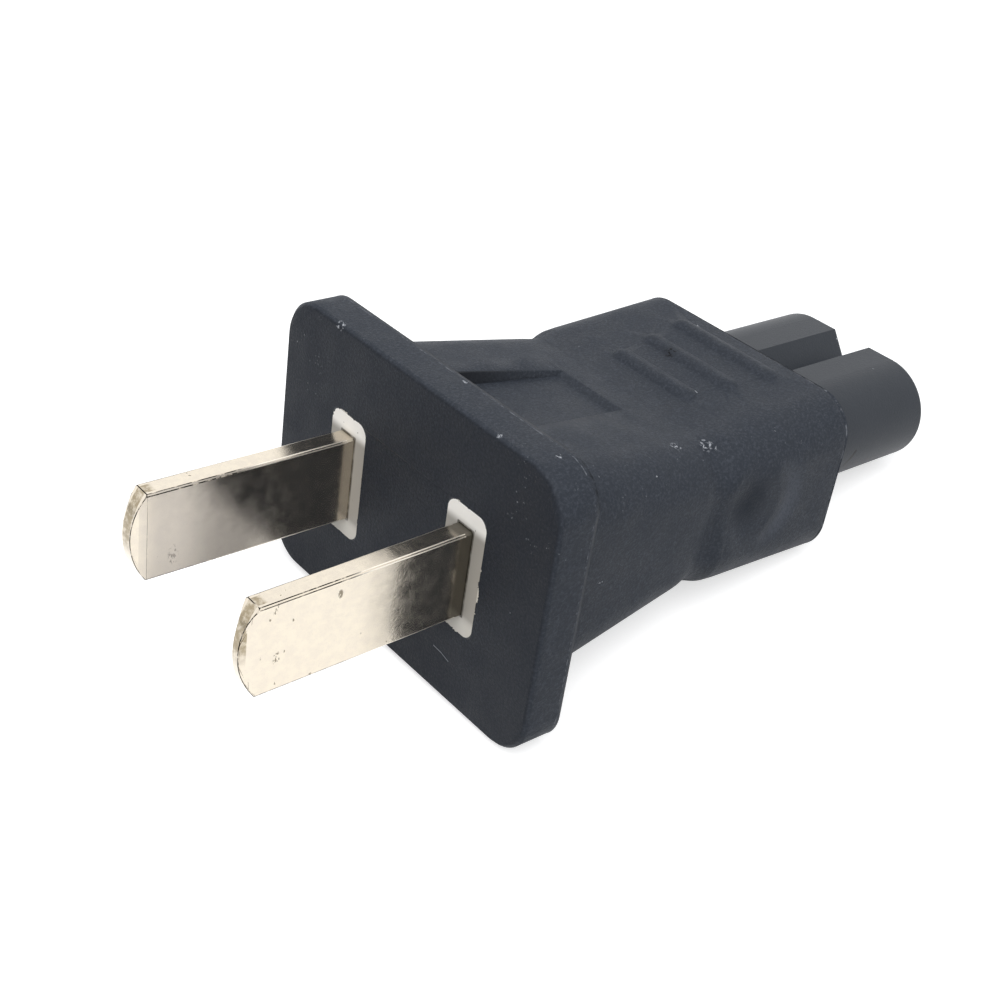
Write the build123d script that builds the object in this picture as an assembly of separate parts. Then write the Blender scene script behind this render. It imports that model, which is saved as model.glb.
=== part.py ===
from build123d import *
from math import asin, atan2, degrees, hypot
import os

os.makedirs("parts", exist_ok=True)

# Plug adapter: two flat blades in front, a figure-8 socket nose behind. Sizes are in millimetres.
# It is drawn along its own axis, X from the flange's front face towards the nose, Y across the blades
# and Z through the flat sides, and is laid down on the table at the end.

# flat blades, at the usual pitch of a two-blade plug
BLADE_PITCH = 12.7
BLADE_WIDTH = 6.35
BLADE_THICK = 1.5
BLADE_LENGTH = 16.3
BLADE_TIP_RISE = 1.05
BLADE_BEVEL = 0.25
BLADE_EDGE = 0.12
TAIL_WIDTH = 3.6
TAIL_LENGTH = 5.6

# flange
FLANGE_W = 28.6
FLANGE_H = 20.75
FLANGE_T = 3.0
FLANGE_CORNER_R = 3.1
FLANGE_EDGE = 0.28

# neck, waist and grip
NECK_W = 23.8
NECK_H = 15.9
NECK_LENGTH = 14.8
NECK_ROOT_R = 0.5
WAIST_W = 21.8
WAIST_H = 11.3
WAIST_STEP = 2.0
WAIST_LEAN = 5.0
GRIP_FRONT_W = 22.7
GRIP_FRONT_H = 11.6
GRIP_REAR_W = 22.1
GRIP_REAR_H = 13.05
GRIP_LENGTH = 11.4
GRIP_REAR_R = 0.35
SHOULDER_R = 3.3
SOFT_SHARE = 0.3

# sunk panel on the neck, deep at the flange and nearly flush at the waist
PANEL_FRONT_W = 8.8
PANEL_REAR_W = 6.3
PANEL_LENGTH = 12.7
PANEL_DEPTH = 1.1
PANEL_END_DEPTH = 0.3

# raised ribs on the grip, longer towards the rear
RIB_W = 1.65
RIB_RISE = 0.34
RIB_LENGTH = 8.0
RIB_GROWTH = 1.15
RIB_PITCH = 3.6
RIB_COUNT = 3
RIB_REAR_MARGIN = 2.1

# finger hollows in the sides of the grip
HOLLOW_D = 6.6
HOLLOW_DEPTH = 0.7
HOLLOW_FROM_REAR = 8.4
HOLLOW_RISE = 0.9
HOLLOW_RIM_W = 0.9
HOLLOW_RIM_DEPTH = 0.28

# ivory blade carrier
PAD_W = 3.8
PAD_H = 9.0
PAD_CORNER_R = 0.55
CARRIER_W = 19.0
CARRIER_H = 10.2
CARRIER_T = 4.0
CARRIER_CORNER_R = 1.0

# figure-8 nose and the collar that anchors it in the grip
NOSE_W = 16.4
NOSE_H = 8.1
NOSE_LENGTH = 14.0
NOSE_EDGE_R = 0.4
NOTCH_W = 3.6
NOTCH_DEPTH = 2.4
ROOT_LENGTH = 7.0
COLLAR_W = 17.8
COLLAR_H = 9.4
COLLAR_T = 2.4
PIN_PITCH = 8.6
PIN_HOLE_D = 2.9
PIN_HOLE_LENGTH = 1.9
PIN_HOLE_LEAD = 0.3

# brass contacts and rivets
SLEEVE_BORE = 2.5
SLEEVE_WALL = 0.55
SLEEVE_LENGTH = 10.0
SLEEVE_SLIT = 0.5
STRIP_T = 0.35
STRIP_H = 2.6
STRIP_OVERLAP = 1.0
RIVET_D = 1.5
RIVET_HEAD_D = 2.5
RIVET_HEAD_T = 0.5

# stations along the axis
NECK_END = FLANGE_T + NECK_LENGTH
GRIP_START = NECK_END + WAIST_STEP
GRIP_END = GRIP_START + GRIP_LENGTH
NOSE_END = GRIP_END + NOSE_LENGTH
CARRIER_END = FLANGE_T + CARRIER_T
TAIL_END = CARRIER_END + TAIL_LENGTH
SLEEVE_END = NOSE_END - PIN_HOLE_LENGTH
SLEEVE_START = SLEEVE_END - SLEEVE_LENGTH


def both_sides(shape):
    """The shape and its mirror image across the plug's middle plane."""
    return shape + mirror(shape, Plane.XZ)


def grip_top(x):
    """Half height of the grip at x."""
    share = (x - GRIP_START) / GRIP_LENGTH
    return GRIP_FRONT_H / 2 + share * (GRIP_REAR_H - GRIP_FRONT_H) / 2


def grip_side(x):
    """Half width of the grip at x."""
    share = (x - GRIP_START) / GRIP_LENGTH
    return GRIP_FRONT_W / 2 + share * (GRIP_REAR_W - GRIP_FRONT_W) / 2


def neck_top(x):
    """Half height of the neck at x."""
    share = (x - FLANGE_T) / NECK_LENGTH
    return NECK_H / 2 + share * (WAIST_H - NECK_H) / 2


def neck_side(x):
    """Half width of the neck at x."""
    share = (x - FLANGE_T) / NECK_LENGTH
    return NECK_W / 2 + share * (WAIST_W - NECK_W) / 2


def section(x, half_w, half_h, grow=0.0, lean=0.0):
    """A rounded section of the neck or grip at x, grown all round, with its top leaning back."""
    face = RectangleRounded(2 * (half_w + grow), 2 * (half_h + grow), SHOULDER_R + grow)
    return Pos(x, 0, 0) * Rot(0, lean, 0) * (Plane.YZ * face)


# neck and grip: rounded sections joined along the axis, flared where the neck leaves the flange,
# leaning back at the waist and rounded off at the rear
root_x = FLANGE_T + NECK_ROOT_R
rear_x = GRIP_END - GRIP_REAR_R
root_soft = SOFT_SHARE * NECK_ROOT_R
rear_soft = SOFT_SHARE * GRIP_REAR_R
sections = [
    section(FLANGE_T / 2, NECK_W / 2, NECK_H / 2, NECK_ROOT_R),
    section(FLANGE_T, NECK_W / 2, NECK_H / 2, NECK_ROOT_R),
    section(FLANGE_T + root_soft, NECK_W / 2, NECK_H / 2, root_soft),
    section(root_x, neck_side(root_x), neck_top(root_x)),
    section(NECK_END, WAIST_W / 2, WAIST_H / 2, lean=WAIST_LEAN),
    section(GRIP_START, GRIP_FRONT_W / 2, GRIP_FRONT_H / 2, lean=WAIST_LEAN),
    section(rear_x, grip_side(rear_x), grip_top(rear_x)),
    section(GRIP_END - rear_soft, GRIP_REAR_W / 2, GRIP_REAR_H / 2, -rear_soft),
    section(GRIP_END, GRIP_REAR_W / 2, GRIP_REAR_H / 2, -GRIP_REAR_R),
]
grip = loft(sections, ruled=True)

# finger hollows: a deep bowl in a wide shallow one, so that the rim is soft
hollow_x = GRIP_END - HOLLOW_FROM_REAR
for bowl_d, bowl_depth in ((HOLLOW_D, HOLLOW_DEPTH), (HOLLOW_D + 2 * HOLLOW_RIM_W, HOLLOW_RIM_DEPTH)):
    bowl_r = (bowl_d**2 / 4 + bowl_depth**2) / (2 * bowl_depth)
    bowl_y = grip_side(hollow_x) - bowl_depth + bowl_r
    grip -= both_sides(Pos(hollow_x, bowl_y, HOLLOW_RISE) * Sphere(bowl_r))

# flange, with the neck rising out of it
flange = extrude(Plane.YZ * RectangleRounded(FLANGE_W, FLANGE_H, FLANGE_CORNER_R), FLANGE_T)
flange = chamfer(flange.faces().filter_by(Axis.X).edges(), FLANGE_EDGE)
shell = flange + grip

# ribs, on both flat sides
rib_r = (RIB_W**2 / 4 + RIB_RISE**2) / (2 * RIB_RISE)
rib_stations = [GRIP_END - RIB_REAR_MARGIN - RIB_PITCH * (RIB_COUNT - 1 - i) for i in range(RIB_COUNT)]
for i, x in enumerate(rib_stations):
    half = (RIB_LENGTH + RIB_GROWTH * i - RIB_W) / 2
    z = grip_top(x) + RIB_RISE - rib_r
    rib = Pos(x, 0, z) * (Rot(90, 0, 0) * Cylinder(rib_r, 2 * half))
    rib += both_sides(Pos(x, half, z) * Sphere(rib_r))
    shell += rib + mirror(rib, Plane.XY)

# sunk panels, on both flat sides
panel_end = FLANGE_T + PANEL_LENGTH
neck_fall = (NECK_H - WAIST_H) / 2 / NECK_LENGTH
panel_end_z = NECK_H / 2 - neck_fall * PANEL_LENGTH - PANEL_END_DEPTH
panel_side = Polyline(
    (FLANGE_T, NECK_H / 2 - PANEL_DEPTH),
    (panel_end, panel_end_z),
    (panel_end, NECK_H / 2),
    (FLANGE_T, NECK_H / 2),
    close=True,
)
panel_plan = Polyline(
    (FLANGE_T, PANEL_FRONT_W / 2),
    (panel_end, PANEL_REAR_W / 2),
    (panel_end, -PANEL_REAR_W / 2),
    (FLANGE_T, -PANEL_FRONT_W / 2),
    close=True,
)
panel = extrude(Plane.XZ * make_face(panel_side), PANEL_FRONT_W, both=True)
panel &= extrude(make_face(panel_plan), NECK_H)
shell -= panel + mirror(panel, Plane.XY)

# blade: straight, with a rounded and bevelled tip in front and a narrow tail behind
tip_x = -BLADE_LENGTH
arc_x = tip_x + BLADE_TIP_RISE
blade_z = BLADE_WIDTH / 2
tail_z = TAIL_WIDTH / 2
blade_outline = Polyline(
    (arc_x, blade_z),
    (CARRIER_END, blade_z),
    (CARRIER_END, tail_z),
    (TAIL_END, tail_z),
    (TAIL_END, -tail_z),
    (CARRIER_END, -tail_z),
    (CARRIER_END, -blade_z),
    (arc_x, -blade_z),
)
blade_tip = ThreePointArc((arc_x, -blade_z), (tip_x, 0), (arc_x, blade_z))
blade = extrude(Plane.XZ * make_face(blade_outline + blade_tip), BLADE_THICK / 2, both=True)
edge_lines = blade.edges().filter_by(Axis.X)
edge_lines = edge_lines.filter_by(lambda edge: abs(abs(edge.center().Z) - blade_z) < 0.01)
blade = chamfer(edge_lines, BLADE_EDGE)
face_y = BLADE_THICK / 2
bevel_line = Polyline((arc_x, face_y), (tip_x, face_y - BLADE_BEVEL), (tip_x, face_y), close=True)
blade -= both_sides(extrude(make_face(bevel_line), BLADE_WIDTH, both=True))
blade = Pos(0, BLADE_PITCH / 2, 0) * blade

# contact: a slit sleeve for the pin and a strip that jogs over to the inner face of the blade's tail
pin_y = PIN_PITCH / 2
sleeve_r = SLEEVE_BORE / 2 + SLEEVE_WALL
sleeve_x = (SLEEVE_START + SLEEVE_END) / 2
sleeve_mid = Pos(sleeve_x, pin_y, 0) * Rot(0, 90, 0)
sleeve_space = sleeve_mid * Cylinder(sleeve_r, SLEEVE_LENGTH)
pin_space = sleeve_mid * Cylinder(SLEEVE_BORE / 2, SLEEVE_LENGTH)
slit = Pos(sleeve_x, pin_y - sleeve_r, 0) * Box(SLEEVE_LENGTH, 2 * sleeve_r, SLEEVE_SLIT)
strip_front_y = BLADE_PITCH / 2 - BLADE_THICK / 2 - STRIP_T / 2
strip_rear_y = pin_y + (SLEEVE_BORE + SLEEVE_WALL) / 2
strip_line = [
    (CARRIER_END, strip_front_y),
    (TAIL_END + 1, strip_front_y),
    (GRIP_START, strip_rear_y),
    (SLEEVE_START + STRIP_OVERLAP, strip_rear_y),
]
strip_plan = [(x, y + STRIP_T / 2) for x, y in strip_line]
strip_plan += [(x, y - STRIP_T / 2) for x, y in reversed(strip_line)]
strip = extrude(make_face(Polyline(*strip_plan, close=True)), STRIP_H / 2, both=True)
contact = sleeve_space - pin_space - slit + strip

# rivet through the tail and the strip, with a flat head on each side
rivet_x = (CARRIER_END + TAIL_END) / 2
rivet_in = strip_front_y - STRIP_T / 2
rivet_out = BLADE_PITCH / 2 + BLADE_THICK / 2
rivet_turn = Pos(rivet_x, (rivet_in + rivet_out) / 2, 0) * Rot(90, 0, 0)
rivet_shank = rivet_turn * Cylinder(RIVET_D / 2, rivet_out - rivet_in)
rivet_heads = rivet_turn * Cylinder(RIVET_HEAD_D / 2, rivet_out - rivet_in + 2 * RIVET_HEAD_T)
rivet_heads -= rivet_turn * Cylinder(RIVET_HEAD_D / 2, rivet_out - rivet_in)
rivet = rivet_shank + rivet_heads
blade -= rivet_shank
contact -= rivet_shank

# blade carrier: a plate behind the flange with two bosses that come out flush as the pale pads
plate_face = Plane.YZ * RectangleRounded(CARRIER_W, CARRIER_H, CARRIER_CORNER_R)
plate = Pos(FLANGE_T, 0, 0) * extrude(plate_face, CARRIER_T)
boss = extrude(Plane.YZ * RectangleRounded(PAD_W, PAD_H, PAD_CORNER_R), FLANGE_T)
blade_pair = both_sides(blade)
carrier = plate + both_sides(Pos(0, BLADE_PITCH / 2, 0) * boss) - blade_pair

# socket nose: figure-8 in section, with a collar inside the grip
notch_root = NOSE_H / 2 - NOTCH_DEPTH
notch = Polyline((-NOTCH_W / 2, NOSE_H / 2), (NOTCH_W / 2, NOSE_H / 2), (0, notch_root), close=True)
notch_face = make_face(notch)
nose_face = SlotOverall(NOSE_W, NOSE_H) - notch_face - mirror(notch_face, Plane.XZ)
nose_block = Pos(GRIP_END - ROOT_LENGTH, 0, 0) * extrude(Plane.YZ * nose_face, ROOT_LENGTH + NOSE_LENGTH)
nose_block = fillet(nose_block.faces().sort_by(Axis.X)[-1].edges(), NOSE_EDGE_R)
collar = extrude(Plane.YZ * RectangleRounded(COLLAR_W, COLLAR_H, COLLAR_H / 4), COLLAR_T)
nose_block += Pos(GRIP_END - ROOT_LENGTH, 0, 0) * collar
pin_hole = Rot(0, 90, 0) * Cylinder(PIN_HOLE_D / 2, PIN_HOLE_LENGTH)
pin_hole = Pos(NOSE_END - PIN_HOLE_LENGTH / 2, pin_y, 0) * pin_hole
lead_cone = Cone(PIN_HOLE_D / 2, PIN_HOLE_D / 2 + PIN_HOLE_LEAD, PIN_HOLE_LEAD)
lead_in = Pos(NOSE_END - PIN_HOLE_LEAD / 2, pin_y, 0) * Rot(0, 90, 0) * lead_cone
nose = nose_block - both_sides(sleeve_space + strip + pin_hole + lead_in)

# the overmoulding fills the space around everything inside it
body = shell - nose_block - plate - both_sides(Pos(0, BLADE_PITCH / 2, 0) * boss)
body = body - blade_pair - both_sides(strip + rivet)

# at rest it leans back from the flange's rear edge onto the last rib or the heel of the grip
flange_foot = (FLANGE_T - FLANGE_EDGE, -FLANGE_H / 2)
rib_foot = (rib_stations[-1], rib_r - RIB_RISE - grip_top(rib_stations[-1]), rib_r)
heel = (rear_x, -grip_top(rear_x), 0)
leans = []
for x, z, r in (rib_foot, heel):
    run, rise = x - flange_foot[0], z - flange_foot[1]
    leans.append(atan2(rise, run) - asin(r / hypot(run, rise)))
tilt = Rot(0, degrees(min(leans)), 0)
nodes = {
    "outer_body": body,
    "blade_carrier": carrier,
    "socket_nose": nose,
    "blade_left": blade,
    "blade_right": mirror(blade, Plane.XZ),
    "contact_left": contact,
    "contact_right": mirror(contact, Plane.XZ),
    "rivet_left": rivet,
    "rivet_right": mirror(rivet, Plane.XZ),
}
lying = Compound([tilt * Compound([shape]) for shape in nodes.values()]).bounding_box()
rest = Pos(-(lying.min.X + lying.max.X) / 2, 0, -lying.min.Z) * tilt
for name, shape in nodes.items():
    export_step(rest * shape, f"parts/{name}.step")
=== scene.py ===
import math
from functools import partial
import bmesh
import bpy
from mathutils import Matrix, Vector


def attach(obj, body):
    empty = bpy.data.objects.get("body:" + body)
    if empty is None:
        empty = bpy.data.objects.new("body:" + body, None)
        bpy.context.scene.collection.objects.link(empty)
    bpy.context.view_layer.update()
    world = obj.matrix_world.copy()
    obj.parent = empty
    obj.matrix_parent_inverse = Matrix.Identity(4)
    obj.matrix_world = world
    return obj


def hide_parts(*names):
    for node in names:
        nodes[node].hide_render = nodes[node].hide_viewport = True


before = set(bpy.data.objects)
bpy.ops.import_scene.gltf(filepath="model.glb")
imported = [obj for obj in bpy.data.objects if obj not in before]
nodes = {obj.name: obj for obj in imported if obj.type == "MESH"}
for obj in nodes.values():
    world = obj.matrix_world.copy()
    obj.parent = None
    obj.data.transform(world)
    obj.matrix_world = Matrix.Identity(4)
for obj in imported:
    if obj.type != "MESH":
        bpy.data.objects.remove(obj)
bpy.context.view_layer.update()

# The plug's own axes, as the part lies on the table: x from the flange's front face towards the nose,
# y across the blades and z through the flat sides. Forms and patterns are placed in them, in millimetres.
PLUG_ORIGIN = (-0.0145409, 0.0, 0.010649)
PLUG_TILT = 0.136796
MM = 0.001
PLUG = Matrix.Translation(PLUG_ORIGIN) @ Matrix.Rotation(PLUG_TILT, 4, "Y") @ Matrix.Scale(MM, 4)

# sizes of the part that forms and patterns follow
BLADE_Y = 6.35
BLADE_HALF_T = 0.75
BLADE_HALF_W = 3.175
BLADE_LENGTH = 16.3
PAD_HALF_W = 1.9
PAD_HALF_H = 4.5
PAD_CORNER_R = 0.9
FLANGE_HALF_W = 14.3
FLANGE_HALF_H = 10.375
FLANGE_T = 3.0
NECK_END = 17.8
GRIP_START = 19.8
GRIP_END = 31.2
PANEL_END = 15.7
PANEL_FRONT_Y = 4.4
PANEL_REAR_Y = 3.15
PANEL_FLOOR_Z = 5.0
PANEL_TOP_Z = 5.75
SHOULDER_R = 3.3
WAIST_LEAN = math.radians(5)
# half width and half height of neck and grip at the stations along the axis
BODY_STATIONS = (FLANGE_T, NECK_END, GRIP_START, GRIP_END)
BODY_HALF_W = (11.9, 10.9, 11.35, 11.05)
BODY_HALF_H = (7.95, 5.65, 5.8, 6.525)
# everything the overmoulding encloses behind the flange lies inside this half width and half height
CORE_HALF_W = 8.95
CORE_HALF_H = 4.75

# the finger hollow: scooped deepest towards the front, with a low crest and a shallow groove behind it
HOLLOW_X = 22.8
HOLLOW_Z = 0.9
HOLLOW_R = 4.2
HOLLOW_DEPTH = 0.45
HOLLOW_SKEW = 0.6
GROOVE_DEPTH = 0.28
GROOVE_R = 3.0
GROOVE_HALF_W = 1.4
GROOVE_MIDDLE = (25.8, 0.0, 0.2)
GROOVE_REACH = 4.6
# the sides are cleared of facets that meet at less than this angle, then sides and waist are cut into a grid
FACET_ANGLE = math.radians(1.5)
GRID_SLICES = 27
SIDE_STEP = 0.36
SIDE_REACH = 6.0
WAIST_STEP = 0.25
WAIST_FRONT = NECK_END - 2.4
WAIST_REAR = GRIP_START + 2.0
# the waist's rounding and pinch
WAIST_ROUND = 0.9
PINCH_X = NECK_END + 0.3
PINCH_REACH = 1.6
PINCH_IN = 0.22
PINCH_IN_HALF_H = 6.5
PINCH_DOWN = 0.3
PINCH_DOWN_Z = 5.0
PINCH_DOWN_REACH = 3.0
# the thin lip of flash on the rear rims of flange and grip, and the heel that it doesn't pass
ON_RIM = 0.01
FLANGE_RIM_Y = 13.0
FLANGE_RIM_Z = 9.2
FLANGE_FLASH_Y = 0.24
FLANGE_FLASH_Z = 0.23
GRIP_RIM_Z = CORE_HALF_H + 0.3
GRIP_FLASH_Y = 1.028
GRIP_FLASH_Z = 1.045
HEEL_Z = -6.37
# the sunk panel's rear end leans forward by this much at its floor
PANEL_LEAN = 0.5
PANEL_LEAN_HALF_W = 3.4
# the blades: spacing of their cross cuts, wear of corners and creases, the angle in degrees up to which edges
# across the thickness belong to the smooth rounded end, the hammered end, and how far out the bend goes
BLADE_STEP = 0.6
CORNER_WEAR = 0.04
CREASE_WEAR = 0.01
ROUNDED_END_ANGLE = 25
HAMMERED_LENGTH = 1.2
BEND_LENGTH = 3.0

# sizes of the patterns in the finishes: about how far across one lump, fleck or line is
PVC_GRAIN = 0.2
PVC_WAVE = 3.5
PVC_BLOOM = 2.5
FLECK = 0.2
GRIT_CLOUD = 1.6
SEAM_BREAK = 0.9
SMEAR = 1.6
NOSE_GRAIN = 0.16
NOSE_CLOUD = 2.2
IVORY_CLOUD = 1.2
JOINT_DIRT = 0.6
PAD_RIM = 1.1
DRAG_LINE = 0.15
PLATING_PEEL = 0.9
PLATING_STAIN = 0.6
SCUFF = 0.3
THIN_PLATING = 0.4
CORNER_PLATING = 0.7
BRASS_TARNISH = 0.8

# marks on the soft body: where they are and how far they reach
LINT = (
    ((15.6, -8.5, 6.0), 0.5), ((18.4, -8.7, 5.5), 0.6), ((18.9, -9.2, 5.4), 0.4),
    ((1.9, -11.3, 10.35), 0.3), ((0.3, -7.8, 10.3), 0.25), ((0.1, 8.4, 10.3), 0.5),
    ((2.6, -1.6, 10.38), 0.25), ((22.6, -3.4, 5.9), 0.3), ((30.0, 3.7, 6.5), 0.2),
    ((19.8, 6.0, 5.8), 0.2), ((7.3, -11.6, -0.2), 0.3), ((2.9, -13.4, 7.6), 0.5))
CHIP = (24.9, 1.5, 6.3)
CHIP_REACH = 0.7
# painted shade in the front of the finger hollow: its middle, how far it reaches and how near the middle it
# is full
HOLLOW_SHADE_MIDDLE = (21.4, 0.0, 1.4)
HOLLOW_SHADE_REACH = 2.6
HOLLOW_SHADE_FULL = 0.4
# the ring about the hollow that is painted pale as a highlight: where it starts, is full, fades and ends
HIGHLIGHT_RING = (2.3, 3.2, 3.4, 4.9)
# edges that gather grit, from none to full: the flange's front rims above and below, and the upper shoulders
GRIT_RIM_X = (0.7, 0.1)
GRIT_RIM_Z = (9.8, 10.3)
GRIT_SHOULDER_Y = (8.4, 9.8)
GRIT_SHOULDER_Z = (3.2, 4.6)
# lines of flash, painted pale as a highlight, and a bent scratch on the flange's face: its ends and its width
LIT_SEAMS = (FLANGE_T - 0.33, GRIP_END - 0.07)
FACE_SCRATCHES = (
    ((0, -4.9, -6.95), (0, -5.7, -7.0), 0.1), ((0, -5.7, -7.0), (0, -6.5, -7.2), 0.08))
# a short dark mark in the nose: its ends and its width
DARK_MARK = ((36.3, -8.05, -1.5), (37.1, -8.2, -0.2), 0.4)
# dings in the blades' faces, three on the right and one on the left: where they are and how far they reach
DINGS = (
    ((-13.9, -7.1, -1.2), 0.3), ((-14.1, -7.1, 2.1), 0.22), ((-9.7, -7.1, 1.9), 0.2),
    ((-13.4, 5.6, -1.8), 0.45))
# stretches of the blades: where a change starts, is full, fades and ends
SCUFFED_RIGHT = (-6.4, -5.4, -4.4, -3.4)
DARK_REFLECTION_LEFT = (-13.6, -9.8, -8.6, -6.2)
DARK_REFLECTION_RIGHT = (-8.5, -6.2, -5.4, -4.2)
# places on blades and pads, from none to full, or from one share to another
ROOT_SHADE_X = (-1.5, -0.8)
DIM_REFLECTION_TIP_X = (-16.2, -14.2)
DIM_REFLECTION_ROOT_X = (-7.2, -5.2)
THIN_END_X = (-14.4, -14.8)
THIN_END_Z = (-1.6, 0.2)
THIN_END_HALF_T = 0.42
CORNER_HIGHLIGHT_X = (-9.5, -7.0)
PAD_SHADE_BELOW_Z = (-2.8, -3.6)
PAD_SHADE_BESIDE_Z = (3.7, 2.9)

# a range of values is always run over smoothly
SMOOTH = {"interpolation_type": "SMOOTHSTEP"}


def linear(hex_colour):
    """An sRGB hex colour as linear red, green, blue and alpha."""
    parts = [int(hex_colour[i:i + 2], 16) / 255 for i in (1, 3, 5)]
    return tuple(c / 12.92 if c <= 0.04045 else ((c + 0.055) / 1.055) ** 2.4 for c in parts) + (1.0,)


def add(tree, kind, inputs=(), **settings):
    """Adds a node with its settings. Inputs, by name or in order, follow a node or socket or hold a value."""
    node = tree.nodes.new("ShaderNode" + kind)
    for name, value in settings.items():
        setattr(node, name, value)
    named = inputs if isinstance(inputs, dict) else dict(enumerate(inputs))
    for socket, source in named.items():
        if isinstance(source, bpy.types.Node):
            source = next(output for output in source.outputs if output.enabled)
        if isinstance(source, bpy.types.NodeSocket):
            tree.links.new(source, node.inputs[socket])
        else:
            node.inputs[socket].default_value = source
    return node


def blank_material(name):
    """A material with no nodes yet, and the call that puts one in it."""
    material = bpy.data.materials.new(name)
    material.use_nodes = True
    material.node_tree.nodes.clear()
    return material, partial(add, material.node_tree)


def plug_place(put):
    """The place of a point in the plug's own axes, in millimetres."""
    place = put("TexCoord").outputs["Object"]
    return put("Mapping", {
        "Vector": place, "Location": PLUG_ORIGIN, "Rotation": (0, PLUG_TILT, 0), "Scale": (MM, MM, MM)},
        vector_type="TEXTURE")


def coated(put, ground, coats):
    """A ground colour with others laid over it in turn, each where its mask is 1."""
    tone = linear(ground)
    for mask, colour in coats:
        tone = put("Mix", {"Factor": mask, "A": tone, "B": linear(colour)}, data_type="RGBA")
    return tone


def all_of(put, *masks):
    """1 only where each of the masks is 1."""
    held = masks[0]
    for mask in masks[1:]:
        held = put("Math", (held, mask), operation="MULTIPLY")
    return held


def stretch(put, value, start, full, fade, end):
    """1 on a stretch of values, coming in from start to full and going out from fade to end."""
    coming = put("MapRange", (value, start, full), **SMOOTH)
    going = put("MapRange", (value, end, fade), **SMOOTH)
    return all_of(put, coming, going)


def specks(put, vector, spacing, share, size):
    """1 in small flecks: a share of the cells in a grid of that spacing hold one, up to size across."""
    cells = put("TexVoronoi", {"Vector": vector, "Scale": 1 / spacing})
    chance = put("SeparateColor", {"Color": cells.outputs["Color"]}).outputs
    held = put("Math", (chance["Red"], share), operation="LESS_THAN")
    reach = put("Math", (chance["Green"], size / 2 / spacing), operation="MULTIPLY")
    ragged = put("TexNoise", {"Vector": vector, "Scale": 2 / size})
    ragged = put("MapRange", (ragged, 0.3, 0.7, 0.4, 1.4), **SMOOTH)
    inside = put("Math", (cells.outputs["Distance"], all_of(put, reach, ragged)), operation="LESS_THAN")
    return all_of(put, held, inside)


def scratch(put, vector, start, end, width):
    """1 on a straight scratch between two points, fading at its rim."""
    along = Vector(end) - Vector(start)
    away = put("VectorMath", (vector, start), operation="SUBTRACT")
    share = put("VectorMath", (away, along / along.length_squared), operation="DOT_PRODUCT")
    share = put("Clamp", {"Value": share})
    foot = put("VectorMath", {0: along, "Scale": share}, operation="SCALE")
    gap = put("VectorMath", (away, foot), operation="DISTANCE")
    return put("MapRange", (gap, width / 2, width / 4), **SMOOTH)


def off_blade(put, axis):
    """How far across a point lies from the middle of the nearer blade, in millimetres."""
    across = put("Math", (axis["Y"],), operation="ABSOLUTE")
    across = put("Math", (across, BLADE_Y), operation="SUBTRACT")
    return put("Math", (across,), operation="ABSOLUTE")


def from_oblong(put, axis, half_w, half_h, corner_r=0.0):
    """How far a point of the flange's face lies outside an oblong about the nearer blade, in millimetres."""
    upward = put("Math", (axis["Z"],), operation="ABSOLUTE")
    past = []
    for reach, half in ((off_blade(put, axis), half_w), (upward, half_h)):
        beyond = put("Math", (reach, half - corner_r), operation="SUBTRACT")
        past.append(put("Math", (beyond, 0.0), operation="MAXIMUM"))
    away = put("VectorMath", (put("CombineXYZ", past),), operation="LENGTH")
    return put("Math", (away, corner_r), operation="SUBTRACT")


def dust_patch(put, vector, centre, reach):
    """1 in the flecks of a small patch of dust and lint about a point."""
    gap = put("VectorMath", (vector, centre), operation="DISTANCE")
    near = put("MapRange", (gap, reach, reach / 2), **SMOOTH)
    flecks = put("TexNoise", {"Vector": vector, "Scale": 1 / FLECK, "Roughness": 0.7})
    flecks = put("Math", (flecks, 0.56), operation="GREATER_THAN")
    return all_of(put, flecks, near)


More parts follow.
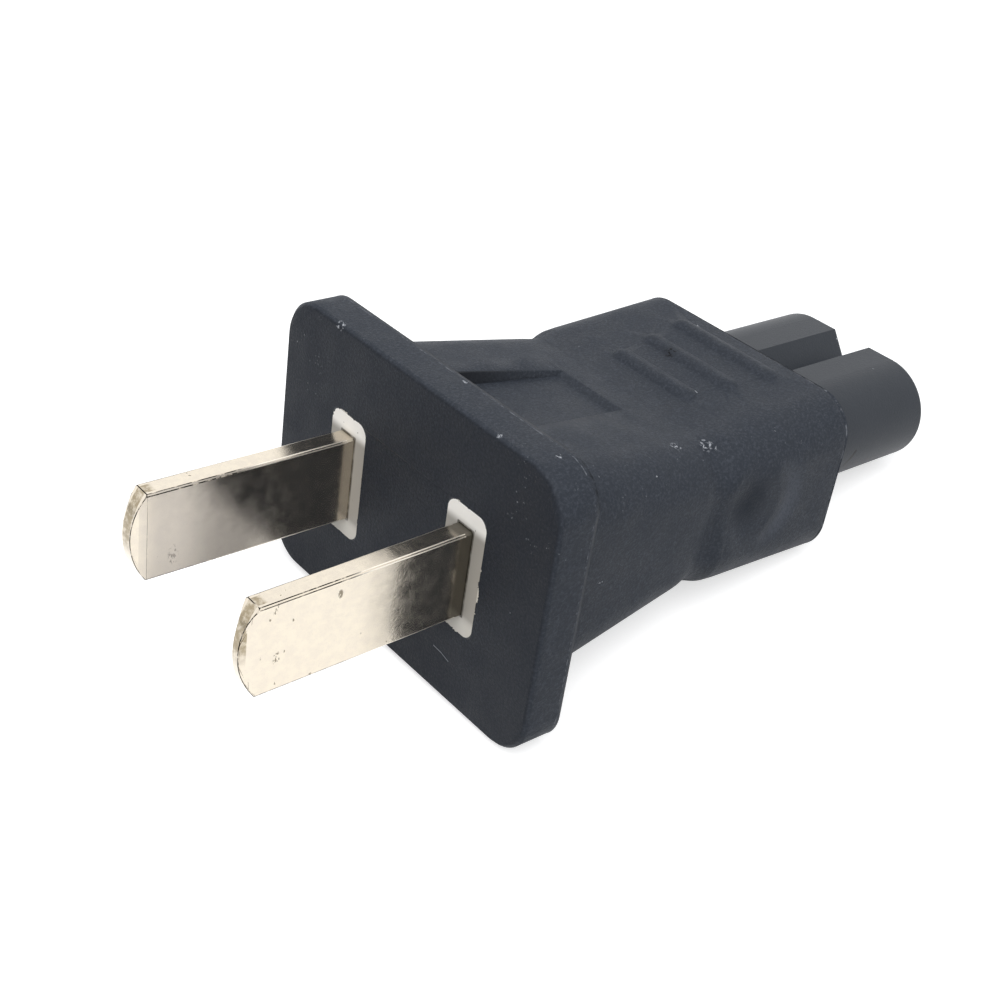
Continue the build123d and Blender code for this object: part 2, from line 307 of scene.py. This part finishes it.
def soft_pvc():
    """Soft PVC, overmoulded in a tool with a fine eroded texture: near black, matt, handled and dusty."""
    material, put = blank_material("soft_pvc_moulded_fine_texture")
    plug = plug_place(put)
    axis = put("SeparateXYZ", (plug,)).outputs
    side = put("Math", (axis["Y"],), operation="ABSOLUTE")
    rise = put("Math", (axis["Z"],), operation="ABSOLUTE")
    coats = []
    # grain of the eroded tool, and slow unevenness of a soft moulding
    grain = put("TexNoise", {"Vector": plug, "Scale": 1 / PVC_GRAIN, "Detail": 3.0, "Roughness": 0.75})
    wave = put("TexNoise", {"Vector": plug, "Scale": 1 / PVC_WAVE, "Detail": 1.0})
    # grey bloom of handling, broken up by the grain
    bloom = put("TexNoise", {"Vector": plug, "Scale": 1 / PVC_BLOOM, "Detail": 4.0, "Roughness": 0.65})
    coats.append((bloom, "#30343b"))
    coats.append((put("MapRange", (grain, 0.4, 0.8), **SMOOTH), "#42464e"))
    # painted shade darkens the flange's front face
    coats.append((put("MapRange", (axis["X"], 0.2, 0.0, 0.0, 0.5), **SMOOTH), "#14161c"))

    # painted shade in the long corner of the sunk panel
    taper = (PANEL_FRONT_Y - PANEL_REAR_Y) / (PANEL_END - FLANGE_T)
    wall = put("Math", (axis["X"], -taper, PANEL_FRONT_Y + taper * FLANGE_T), operation="MULTIPLY_ADD")
    off_wall = put("Math", (axis["Y"], wall), operation="SUBTRACT")
    off_wall = put("Math", (off_wall,), operation="ABSOLUTE")
    corner = put("MapRange", (off_wall, 0.28, 0.1), **SMOOTH)
    behind_flange = put("Math", (axis["X"], FLANGE_T + 0.05), operation="GREATER_THAN")
    fading = put("MapRange", (axis["X"], PANEL_END, PANEL_END - 9, 0.0, 0.9), **SMOOTH)
    on_top = put("MapRange", (axis["Z"], PANEL_FLOOR_Z - 0.1, PANEL_FLOOR_Z + 0.1), **SMOOTH)
    coats.append((all_of(put, corner, behind_flange, fading, on_top), "#101216"))

    # painted shade in the front of the finger hollows, and a painted highlight on their rear rims
    on_side = put("Math", (side, CORE_HALF_W), operation="GREATER_THAN")
    flat = put("CombineXYZ", {"X": axis["X"], "Z": axis["Z"]})
    gap = put("VectorMath", (flat, HOLLOW_SHADE_MIDDLE), operation="DISTANCE")
    hollow_shade = put("MapRange", (gap, HOLLOW_SHADE_REACH, HOLLOW_SHADE_FULL, 0.0, 0.75), **SMOOTH)
    coats.append((all_of(put, on_side, hollow_shade), "#0a121c"))
    # a painted highlight on the hollow's rear rim, broken up by the grain
    ring = put("VectorMath", (flat, (HOLLOW_X, 0, HOLLOW_Z)), operation="DISTANCE")
    rim = stretch(put, ring, *HIGHLIGHT_RING)
    behind = put("VectorMath", (flat, GROOVE_MIDDLE), operation="DISTANCE")
    rear = put("MapRange", (behind, GROOVE_REACH, 1.0, 0.0, 0.75), **SMOOTH)
    worn = put("MapRange", (grain, 0.3, 0.6, 0.55, 1.0), **SMOOTH)
    coats.append((all_of(put, rim, on_side, rear, worn), "#565a62"))

    # grit that gathers where edges rub, along the flange's rims and the upper shoulders, and lies singly
    # elsewhere, with lint caught here and there
    front = put("MapRange", (axis["X"], *GRIT_RIM_X), **SMOOTH)
    top_and_bottom = put("MapRange", (rise, *GRIT_RIM_Z), **SMOOTH)
    outward = put("MapRange", (side, *GRIT_SHOULDER_Y), **SMOOTH)
    upper = put("MapRange", (axis["Z"], *GRIT_SHOULDER_Z), **SMOOTH)
    edges = (all_of(put, front, top_and_bottom), all_of(put, outward, upper))
    edges = put("Math", edges, operation="MAXIMUM")
    gathered = put("TexNoise", {"Vector": plug, "Scale": 1 / GRIT_CLOUD, "Detail": 3.0, "Roughness": 0.7})
    gathered = put("MapRange", (gathered, 0.5, 0.72), **SMOOTH)
    edge_grit = all_of(put, edges, gathered, specks(put, plug, 0.2, 0.35, 0.14), 0.5)
    grit = put("Math", (edge_grit, specks(put, plug, 2.4, 0.1, 0.26)), operation="MAXIMUM")
    for centre, reach in LINT:
        grit = put("Math", (grit, dust_patch(put, plug, centre, reach)), operation="MAXIMUM")
    coats.append((grit, "#a6a9af"))
    # a dark chip out of the middle rib
    coats.append((dust_patch(put, plug, CHIP, CHIP_REACH), "#0d0e11"))

    # thin lines of flash where the halves of the tool met, at the rear edges of flange and grip, painted pale
    # as a highlight
    broken = put("TexNoise", {"Vector": plug, "Scale": 1 / SEAM_BREAK, "Detail": 3.0, "Roughness": 0.7})
    broken = put("MapRange", (broken, 0.47, 0.66, 0.0, 0.7), **SMOOTH)
    for station in LIT_SEAMS:
        gap = put("Math", (axis["X"], station), operation="SUBTRACT")
        gap = put("Math", (gap,), operation="ABSOLUTE")
        coats.append((all_of(put, put("MapRange", (gap, 0.06, 0.02), **SMOOTH), broken), "#777a80"))

    # ivory smeared in ragged bits over the edge of the pads, on the flange's face alone
    edge = from_oblong(put, axis, PAD_HALF_W, PAD_HALF_H, PAD_CORNER_R)
    edge = put("Math", (edge, put("MapRange", (axis["X"], 0.0, 0.05, 0.0, 10.0), **SMOOTH)), operation="ADD")
    ragged = put("TexNoise", {"Vector": plug, "Scale": 1 / SMEAR, "Detail": 4.0, "Roughness": 0.6})
    ragged = put("MapRange", (ragged, 0.5, 0.7, -0.05, 0.16), **SMOOTH)
    coats.append((put("Math", (edge, ragged), operation="LESS_THAN"), "#cbc7bf"))
    # one bent scratch low on the flange's face
    for start, end, width in FACE_SCRATCHES:
        coats.append((scratch(put, plug, start, end, width), "#80838a"))

    slow = put("Bump", {"Height": wave, "Strength": 1.0, "Distance": 0.06 * MM})
    fine = put("Bump", {"Height": grain, "Strength": 1.0, "Distance": 0.05 * MM, "Normal": slow})
    shader = put("BsdfPrincipled", {
        "Base Color": coated(put, "#282c32", coats), "Specular IOR Level": 0.1,
        "Roughness": put("MapRange", (bloom, 0.3, 0.7, 0.48, 0.6), **SMOOTH), "Normal": fine})
    put("OutputMaterial", {"Surface": shader})
    return material


def hard_nose():
    """Hard black nose, moulded in a smoother tool: satin, greyer where it catches the light."""
    material, put = blank_material("hard_black_pbt_moulded_satin")
    plug = plug_place(put)
    # fine grain and slow clouds, with dust and one short dark mark in the near side
    grain = put("TexNoise", {"Vector": plug, "Scale": 1 / NOSE_GRAIN, "Detail": 3.0, "Roughness": 0.6})
    cloud = put("TexNoise", {"Vector": plug, "Scale": 1 / NOSE_CLOUD, "Detail": 3.0, "Roughness": 0.6})
    coats = (
        (cloud, "#2d3137"), (specks(put, plug, 1.4, 0.12, 0.16), "#94979c"),
        (scratch(put, plug, *DARK_MARK), "#0a0b0d"))
    fine = put("Bump", {"Height": grain, "Strength": 1.0, "Distance": 0.02 * MM})
    shader = put("BsdfPrincipled", {
        "Base Color": coated(put, "#272b31", coats), "Roughness": 0.45, "Specular IOR Level": 0.2,
        "Normal": fine})
    put("OutputMaterial", {"Surface": shader})
    return material


def ivory_carrier():
    """Ivory nylon, moulded: satin, ragged at the rim, dark with dirt in the joint round the blades, and with
    painted shade beside them.
    """
    material, put = blank_material("ivory_nylon_moulded")
    plug = plug_place(put)
    axis = put("SeparateXYZ", (plug,)).outputs
    rise = put("Math", (axis["Z"],), operation="ABSOLUTE")
    # slow clouds and a few specks of dirt
    cloud = put("TexNoise", {"Vector": plug, "Scale": 1 / IVORY_CLOUD, "Detail": 3.0})
    coats = [(cloud, "#fbf9f5"), (specks(put, plug, 0.9, 0.2, 0.2), "#8b8780")]
    # painted shade beside the blades, and less of it below them
    coats.append((put("MapRange", (axis["Z"], *PAD_SHADE_BELOW_Z, 0.0, 0.85), **SMOOTH), "#c4c1b9"))
    coats.append((put("MapRange", (rise, *PAD_SHADE_BESIDE_Z, 0.0, 0.95), **SMOOTH), "#98948d"))
    joint = from_oblong(put, axis, BLADE_HALF_T, BLADE_HALF_W)
    patchy = put("TexNoise", {"Vector": plug, "Scale": 1 / JOINT_DIRT})
    patchy = put("MapRange", (patchy, 0.3, 0.6, 0.5, 1.0), **SMOOTH)
    coats.append((all_of(put, put("MapRange", (joint, 0.16, 0.05), **SMOOTH), patchy), "#4a463f"))
    # the soft plastic has crept over the rim
    rim = from_oblong(put, axis, PAD_HALF_W, PAD_HALF_H, PAD_CORNER_R)
    ragged = put("TexNoise", {"Vector": plug, "Scale": 1 / PAD_RIM, "Detail": 4.0, "Roughness": 0.7})
    ragged = put("MapRange", (ragged, 0.3, 0.5, -0.1, 0.02), **SMOOTH)
    coats.append((put("Math", (rim, ragged), operation="GREATER_THAN"), "#25282e"))
    shader = put("BsdfPrincipled", {
        "Base Color": coated(put, "#f0ede7", coats), "Roughness": 0.5, "Specular IOR Level": 0.3})
    put("OutputMaterial", {"Surface": shader})
    return material


def nickel_plate():
    """Bright nickel over stamped brass: a warm mirror with drag lines along the blade, pits and dings, and
    painted shade and dark reflections.
    """
    material, put = blank_material("bright_nickel_on_stamped_brass")
    plug = plug_place(put)
    axis = put("SeparateXYZ", (plug,)).outputs
    on_right = put("Math", (axis["Y"], 0.0), operation="LESS_THAN")
    on_left = put("Math", (axis["Y"], BLADE_Y - BLADE_HALF_T, 0.12), operation="COMPARE")
    # drag lines of the stamping, orange peel of the plating, and stains
    long_way = put("Mapping", {"Vector": plug, "Scale": (0.15, 1.0, 1.0)})
    drag = put("TexNoise", {"Vector": long_way, "Scale": 1 / DRAG_LINE})
    peel = put("TexNoise", {"Vector": plug, "Scale": 1 / PLATING_PEEL, "Detail": 3.0, "Roughness": 0.6})
    stain = put("TexNoise", {"Vector": plug, "Scale": 1 / PLATING_STAIN, "Detail": 4.0, "Roughness": 0.7})
    coats = [(put("MapRange", (stain, 0.35, 0.65), **SMOOTH), "#cac1b3")]

    # pits twice as tall as wide, round ones between them, and the dings
    tall = (1.0, 1.0, 0.5)
    upright = put("Mapping", {"Vector": plug, "Scale": tall})
    pits = (specks(put, upright, 0.5, 0.3, 0.14), specks(put, plug, 1.9, 0.3, 0.3))
    pits = put("Math", pits, operation="MAXIMUM")
    for centre, reach in DINGS:
        centre = Vector(centre) * Vector(tall)
        pits = put("Math", (pits, dust_patch(put, upright, centre, reach)), operation="MAXIMUM")
    coats.append((pits, "#7d7566"))
    # a scuffed patch near the root of the right blade, where it was gripped, and painted shade at its root
    scuffs = put("TexNoise", {"Vector": plug, "Scale": 1 / SCUFF, "Detail": 3.0, "Roughness": 0.7})
    scuffs = all_of(put, stretch(put, axis["X"], *SCUFFED_RIGHT), on_right, scuffs)
    root_shade = put("MapRange", (axis["X"], *ROOT_SHADE_X), **SMOOTH)
    coats.append((all_of(put, root_shade, on_right), "#6d6961"))
    # the face of the left blade that shows is painted darker as a dimmer reflection, and both carry a painted
    # dark reflection some way out from the root
    outer = put("MapRange", (axis["X"], *DIM_REFLECTION_TIP_X, 0.2, 0.62), **SMOOTH)
    inner = put("MapRange", (axis["X"], *DIM_REFLECTION_ROOT_X, 1.0, 0.4), **SMOOTH)
    coats.append((all_of(put, on_left, outer, inner), "#8f8a87"))
    # painted dark reflections on both blades, some way out from the root
    for blade, place, share in ((on_left, DARK_REFLECTION_LEFT, 0.44), (on_right, DARK_REFLECTION_RIGHT, 0.18)):
        coats.append((all_of(put, stretch(put, axis["X"], *place), blade, share), "#3a3836"))
    # the upper half of the stamped end is brown where the plating is thin
    on_end = put("Math", (off_blade(put, axis), THIN_END_HALF_T), operation="LESS_THAN")
    at_tip = put("MapRange", (axis["X"], *THIN_END_X), **SMOOTH)
    upper = put("MapRange", (axis["Z"], *THIN_END_Z), **SMOOTH)
    patchy = put("TexNoise", {"Vector": plug, "Scale": 1 / THIN_PLATING, "Detail": 3.0, "Roughness": 0.7})
    patchy = put("MapRange", (patchy, 0.3, 0.6, 0.25, 0.85), **SMOOTH)
    coats.append((all_of(put, on_end, at_tip, upper, patchy), "#85785f"))

    slow = put("Bump", {"Height": peel, "Strength": 1.0, "Distance": 0.002 * MM})
    fine = put("Bump", {"Height": drag, "Strength": 1.0, "Distance": 0.0005 * MM, "Normal": slow})
    rough = put("Bump", {"Height": scuffs, "Strength": 1.0, "Distance": 0.006 * MM, "Normal": fine})
    sunk = put("Bump", {
        "Height": pits, "Strength": 0.6, "Distance": 0.02 * MM, "Normal": rough}, invert=True)
    shader = put("BsdfPrincipled", {
        "Base Color": coated(put, "#d0c7b7", coats), "Metallic": 1.0,
        "Roughness": put("MapRange", (peel, 0.3, 0.7, 0.15, 0.22), **SMOOTH), "Normal": sunk})
    put("OutputMaterial", {"Surface": shader})
    return material


def worn_corner():
    """Corners of the blade: plating worn through to dark, tarnished brass, with a painted highlight towards
    the root.
    """
    material, put = blank_material("tarnished_brass_worn_through")
    plug = plug_place(put)
    axis = put("SeparateXYZ", (plug,)).outputs
    # bits of plating are left on the corners
    whole = put("TexNoise", {"Vector": plug, "Scale": 1 / CORNER_PLATING, "Detail": 4.0, "Roughness": 0.7})
    coats = (
        (put("MapRange", (whole, 0.5, 0.62), **SMOOTH), "#b9b0a2"),
        # a painted highlight along the corners towards the root
        (put("MapRange", (axis["X"], *CORNER_HIGHLIGHT_X, 0.0, 0.95), **SMOOTH), "#e6dfd2"))
    shader = put("BsdfPrincipled", {
        "Base Color": coated(put, "#1f1c18", coats), "Metallic": 1.0, "Roughness": 0.4})
    put("OutputMaterial", {"Surface": shader})
    return material


def bare_brass():
    """Bare brass strip, stamped and rolled: yellow, dull where it has tarnished."""
    material, put = blank_material("bare_brass_stamped_rolled")
    tarnished = put("TexNoise", {"Vector": plug_place(put), "Scale": 1 / BRASS_TARNISH, "Detail": 3.0})
    shader = put("BsdfPrincipled", {
        "Base Color": coated(put, "#c79a4a", [(tarnished, "#9c7434")]), "Metallic": 1.0, "Roughness": 0.32})
    put("OutputMaterial", {"Surface": shader})
    return material


def dress(material, *names):
    """Gives CAD nodes a finished material."""
    for name in names:
        mesh = nodes[name].data
        mesh.materials.clear()
        mesh.materials.append(material)


def open_copy(name):
    """A CAD node's mesh, joined up and in the plug's axes, ready to be worked on."""
    form = bmesh.new()
    form.from_mesh(nodes[name].data)
    form.transform(PLUG.inverted())
    bmesh.ops.remove_doubles(form, verts=form.verts, dist=0.002)
    return form


def corners_and_edges(faces):
    """The corners and the edges of some faces, each once and in the same order on every run."""
    verts = dict.fromkeys(vert for face in faces for vert in face.verts)
    edges = dict.fromkeys(edge for face in faces for edge in face.edges)
    return list(verts), list(edges)


def slice_form(form, point, normal, wanted=lambda face: True):
    """Adds a loop of edges where a plane meets the wanted faces."""
    faces = [face for face in form.faces if wanted(face)]
    verts, edges = corners_and_edges(faces)
    bmesh.ops.bisect_plane(
        form, geom=[*verts, *edges, *faces], dist=0.0005, plane_co=point, plane_no=normal)


def finished_piece(form, name, node, materials, sharp):
    """Closes a worked form into a piece that stands for a CAD node."""
    form.transform(PLUG)
    mesh = bpy.data.meshes.new(name)
    form.to_mesh(mesh)
    form.free()
    for material in materials:
        mesh.materials.append(material)
    mesh.shade_smooth()
    mesh.set_sharp_from_angle(angle=math.radians(sharp))
    piece = bpy.data.objects.new(name, mesh)
    bpy.context.scene.collection.objects.link(piece)
    even = piece.modifiers.new("flat_faces_stay_flat", "WEIGHTED_NORMAL")
    even.keep_sharp = True
    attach(piece, "root")
    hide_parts(node)
    return piece


def between(stations, values, x):
    """The value at x of a line drawn through stations."""
    for i in range(1, len(stations)):
        if x <= stations[i] or i == len(stations) - 1:
            share = (x - stations[i - 1]) / (stations[i] - stations[i - 1])
            return values[i - 1] + share * (values[i] - values[i - 1])


def softened(values, x, reach=WAIST_ROUND, steps=12):
    """How much the line through the body's stations grows at x when its corners are rounded over reach."""
    around = [x + reach * (2 * i / steps - 1) for i in range(steps + 1)]
    mean = sum(between(BODY_STATIONS, values, u) for u in around) / len(around)
    return mean / between(BODY_STATIONS, values, x)


def bell(share, power=2):
    """1 in the middle, falling smoothly to 0 at a share of 1; a higher power makes it a flatter dish."""
    return (1 - min(1.0, abs(share) ** power)) ** 2


def plain_side(x, z):
    """Half width of the grip at x and z, as if it had no finger hollow."""
    half_w = between(BODY_STATIONS, BODY_HALF_W, x)
    corner = abs(z) - between(BODY_STATIONS, BODY_HALF_H, x) + SHOULDER_R
    if corner <= 0:
        return half_w
    return half_w - SHOULDER_R + math.sqrt(max(0.0, SHOULDER_R**2 - corner**2))


def from_hollow(point):
    """How far a point of the side lies from the middle of the finger hollow."""
    return math.hypot(point.x - HOLLOW_X, point.z - HOLLOW_Z)


def pressed(point):
    """Depth of the finger hollow, deepest towards the front, less that of the groove behind it."""
    along = (point.x - HOLLOW_X) / HOLLOW_R
    upward = (point.z - HOLLOW_Z) / HOLLOW_R
    along += HOLLOW_SKEW * max(0.0, 1 - along**2 - upward**2)
    behind = math.hypot(point.x - GROOVE_MIDDLE[0], point.z - GROOVE_MIDDLE[2])
    ring = bell((from_hollow(point) - GROOVE_R) / GROOVE_HALF_W)
    groove = GROOVE_DEPTH * ring * bell(behind / GROOVE_REACH)
    return HOLLOW_DEPTH * bell(math.hypot(along, upward)) - groove


def on_grip_side(face):
    """Whether a face lies on a side of the body about the finger hollow."""
    middle = face.calc_center_median()
    return abs(middle.y) > CORE_HALF_W and abs(middle.x - HOLLOW_X) < SIDE_REACH


def flash_lip(point):
    """Draws the rear rims of flange and grip out to a thin lip of flash, which fills their eased corners."""
    if abs(point.x - FLANGE_T) < ON_RIM and (abs(point.y) > FLANGE_RIM_Y or abs(point.z) > FLANGE_RIM_Z):
        point.y *= 1 + FLANGE_FLASH_Y / FLANGE_HALF_W
        point.z *= 1 + FLANGE_FLASH_Z / FLANGE_HALF_H
    if abs(point.x - GRIP_END) < ON_RIM and (abs(point.y) > CORE_HALF_W or abs(point.z) > GRIP_RIM_Z):
        point.y *= GRIP_FLASH_Y
        point.z = max(HEEL_Z, point.z * GRIP_FLASH_Z)


def soft_waist(point, x):
    """Rounds and pinches the waist a little and presses the finger hollow in; x is along the lean."""
    skin = abs(point.y) > CORE_HALF_W or abs(point.z) > CORE_HALF_H
    if skin and WAIST_FRONT < x < WAIST_REAR:
        point.y *= softened(BODY_HALF_W, x)
        point.z *= softened(BODY_HALF_H, x)
    if abs(point.y) > CORE_HALF_W and point.x > FLANGE_T + 1:
        pinch = bell((x - PINCH_X) / PINCH_REACH)
        # hollow and groove both go inward, and a crest is left where they are equally deep
        inward = abs(PINCH_IN * pinch * bell(point.z / PINCH_IN_HALF_H) + pressed(point))
        point.y -= math.copysign(inward, point.y)
        downward = PINCH_DOWN * pinch * bell((abs(point.z) - PINCH_DOWN_Z) / PINCH_DOWN_REACH)
        point.z -= math.copysign(downward, point.z)


def soft_body(material):
    """The overmoulding, its waist, finger hollows and panel end rounded as the soft plastic left the tool."""
    form = open_copy("outer_body")
    back = Vector((math.cos(WAIST_LEAN), 0, -math.sin(WAIST_LEAN)))

    # the sides are first closed and cleared of their old facets, then cut into a fine even grid
    for vert in form.verts:
        if abs(vert.co.y) > CORE_HALF_W and from_hollow(vert.co) < HOLLOW_R + 0.1:
            vert.co.y = math.copysign(plain_side(vert.co.dot(back), vert.co.z), vert.co.y)
    verts, edges = corners_and_edges([face for face in form.faces if on_grip_side(face)])
    bmesh.ops.dissolve_limit(form, angle_limit=FACET_ANGLE, verts=verts, edges=edges)
    for i in range(GRID_SLICES):
        slice_form(form, Vector((WAIST_FRONT + WAIST_STEP * i, 0, 0)), back)
    for i in range(GRID_SLICES):
        step = SIDE_STEP * (i - GRID_SLICES // 2)
        slice_form(form, Vector((HOLLOW_X + step, 0, 0)), Vector((1, 0, 0)), on_grip_side)
        slice_form(form, Vector((0, 0, HOLLOW_Z + step)), Vector((0, 0, 1)), on_grip_side)

    for vert in form.verts:
        flash_lip(vert.co)
        soft_waist(vert.co, vert.co.dot(back))
        on_panel = abs(vert.co.y) < PANEL_LEAN_HALF_W and PANEL_FLOOR_Z < abs(vert.co.z) < PANEL_TOP_Z
        if on_panel and abs(vert.co.x - PANEL_END) < 2 * ON_RIM:
            vert.co.x -= PANEL_LEAN
    return finished_piece(form, "soft_body", "outer_body", [material], 38)


def stamped_corners(form, least, most):
    """Edges of a blade in front of the flange whose faces meet at an angle between two limits, in degrees."""
    found = []
    for edge in form.edges:
        if edge.is_manifold and max(vert.co.x for vert in edge.verts) < 0.2:
            across = abs((edge.verts[1].co - edge.verts[0].co).normalized().y) > 0.5
            angle = math.degrees(edge.calc_face_angle())
            if max(least, ROUNDED_END_ANGLE if across else 0) < angle < most:
                found.append(edge)
    return found


def worn_blade(side, droop, thinned, plate, corner):
    """One blade, its stamped corners worn through the plating, bent towards the table a little by use."""
    name = "left" if side > 0 else "right"
    form = open_copy("blade_" + name)
    for i in range(1, int(BLADE_LENGTH / BLADE_STEP) + 1):
        slice_form(form, Vector((-BLADE_STEP * i, 0, 0)), Vector((1, 0, 0)))

    # the end is hammered thinner than it was stamped
    for vert in form.verts:
        off = vert.co.y - side * BLADE_Y
        if vert.co.x < HAMMERED_LENGTH - BLADE_LENGTH and 0.1 < abs(off) < BLADE_HALF_T - 0.05:
            vert.co.y -= off * thinned * bell(vert.co.z / BLADE_HALF_W, 4)

    for least, most, wear in ((22, 180, CORNER_WEAR), (7, 20, CREASE_WEAR)):
        corners = stamped_corners(form, least, most)
        bmesh.ops.bevel(form, geom=corners, offset=wear, segments=1, affect="EDGES", material=1)
    down = Vector((math.sin(PLUG_TILT), 0, -math.cos(PLUG_TILT)))
    for vert in form.verts:
        out = max(0.0, -vert.co.x)
        vert.co += down * math.tan(droop) * out * min(1.0, out / BEND_LENGTH)
    return finished_piece(form, "worn_blade_" + name, "blade_" + name, [plate, corner], 5)


nickel = nickel_plate()
tarnish_and_highlight = worn_corner()
soft_body(soft_pvc())
worn_blade(1, math.radians(0.2), 0.0, nickel, tarnish_and_highlight)
worn_blade(-1, math.radians(1.7), 0.4, nickel, tarnish_and_highlight)
dress(hard_nose(), "socket_nose")
dress(ivory_carrier(), "blade_carrier")
dress(bare_brass(), "contact_left", "contact_right", "rivet_left", "rivet_right")


def paper_floor():
    """White paper that keeps the shadow: white to the camera, pale in the metal, and quiet as a light."""
    material, put = blank_material("white_paper_ground")
    way = put("LightPath").outputs
    quiet = put("BsdfDiffuse", {"Color": linear("#989898")})
    pale = put("BsdfDiffuse", {"Color": linear("#dcdcdc")})
    bright = put("BsdfDiffuse", {"Color": (1.42, 1.42, 1.42, 1)})
    # the lamp's light falls off, so the paper glows more far from the part and stays white to its edge
    away = put("VectorMath", (put("TexCoord").outputs["Object"],), operation="LENGTH")
    strength = put("MapRange", (away, 0.2, 0.9, 0.6, 0.85), **SMOOTH)
    lit = put("AddShader", (pale, put("Emission", {"Color": (1, 1, 1, 1), "Strength": strength})))
    mirrored = put("MixShader", (way["Is Glossy Ray"], quiet, bright))
    seen = put("Math", (way["Is Camera Ray"], way["Is Transmission Ray"]), operation="MAXIMUM")
    put("OutputMaterial", {"Surface": put("MixShader", (seen, mirrored, lit))})
    return material


# a wide sheet of paper, in metres
FLOOR_SIZE = 6.0
bpy.ops.mesh.primitive_plane_add(size=FLOOR_SIZE, location=(0, 0, 0))
floor = bpy.context.object
floor.name = "paper_ground"
floor.data.materials.append(paper_floor())

# a pale room, white where the camera or the metal looks at it
scene = bpy.context.scene
world = bpy.data.worlds.new("pale_room")
scene.world = world
world.use_nodes = True
world.node_tree.nodes.clear()
put = partial(add, world.node_tree)
way = put("LightPath").outputs
seen = put("Math", (way["Is Camera Ray"], way["Is Transmission Ray"]), operation="MAXIMUM")
seen = put("Math", (seen, way["Is Glossy Ray"]), operation="MAXIMUM")
room = put("Background", {"Color": linear("#f2f5fa"), "Strength": 0.36})
white = put("Background", {"Color": (1, 1, 1, 1), "Strength": 1.5})
put("OutputWorld", {"Surface": put("MixShader", (seen, room, white))})

# one wide soft lamp overhead, turned to the part; metres and watts
LAMP_SIZE = 0.5
LAMP_POWER = 2.9
LAMP_PLACE = Vector((-0.15, -0.2, 0.44))
lamp = bpy.data.lights.new("overhead_softbox", "AREA")
lamp.shape = "RECTANGLE"
lamp.size = LAMP_SIZE
lamp.size_y = LAMP_SIZE
lamp.energy = LAMP_POWER
lamp_object = bpy.data.objects.new("overhead_softbox", lamp)
scene.collection.objects.link(lamp_object)
lamp_object.location = LAMP_PLACE
lamp_object.rotation_mode = "QUATERNION"
lamp_object.rotation_quaternion = LAMP_PLACE.to_track_quat("Z", "Y")

# camera at the photograph's viewing angle, in metres, with its lens in millimetres
EYE = Vector((-0.061853, -0.066157, 0.072414))
LOOK = Vector((0.518449, 0.615073, -0.59405))
EYE_UP = Vector((0.35722, 0.4754, 0.803983))
LENS = 56.365
SENSOR = 36.0
camera = bpy.data.cameras.new("photo_view")
camera.lens = LENS
camera.sensor_width = SENSOR
camera.clip_start = 0.005
camera.clip_end = 20.0
camera_object = bpy.data.objects.new("photo_view", camera)
scene.collection.objects.link(camera_object)
rightward = LOOK.cross(EYE_UP).normalized()
upward = rightward.cross(LOOK).normalized()
turn = Matrix((rightward, upward, -LOOK.normalized())).transposed().to_4x4()
camera_object.matrix_world = Matrix.Translation(EYE) @ turn
scene.camera = camera_object
scene.view_settings.view_transform = "Standard"
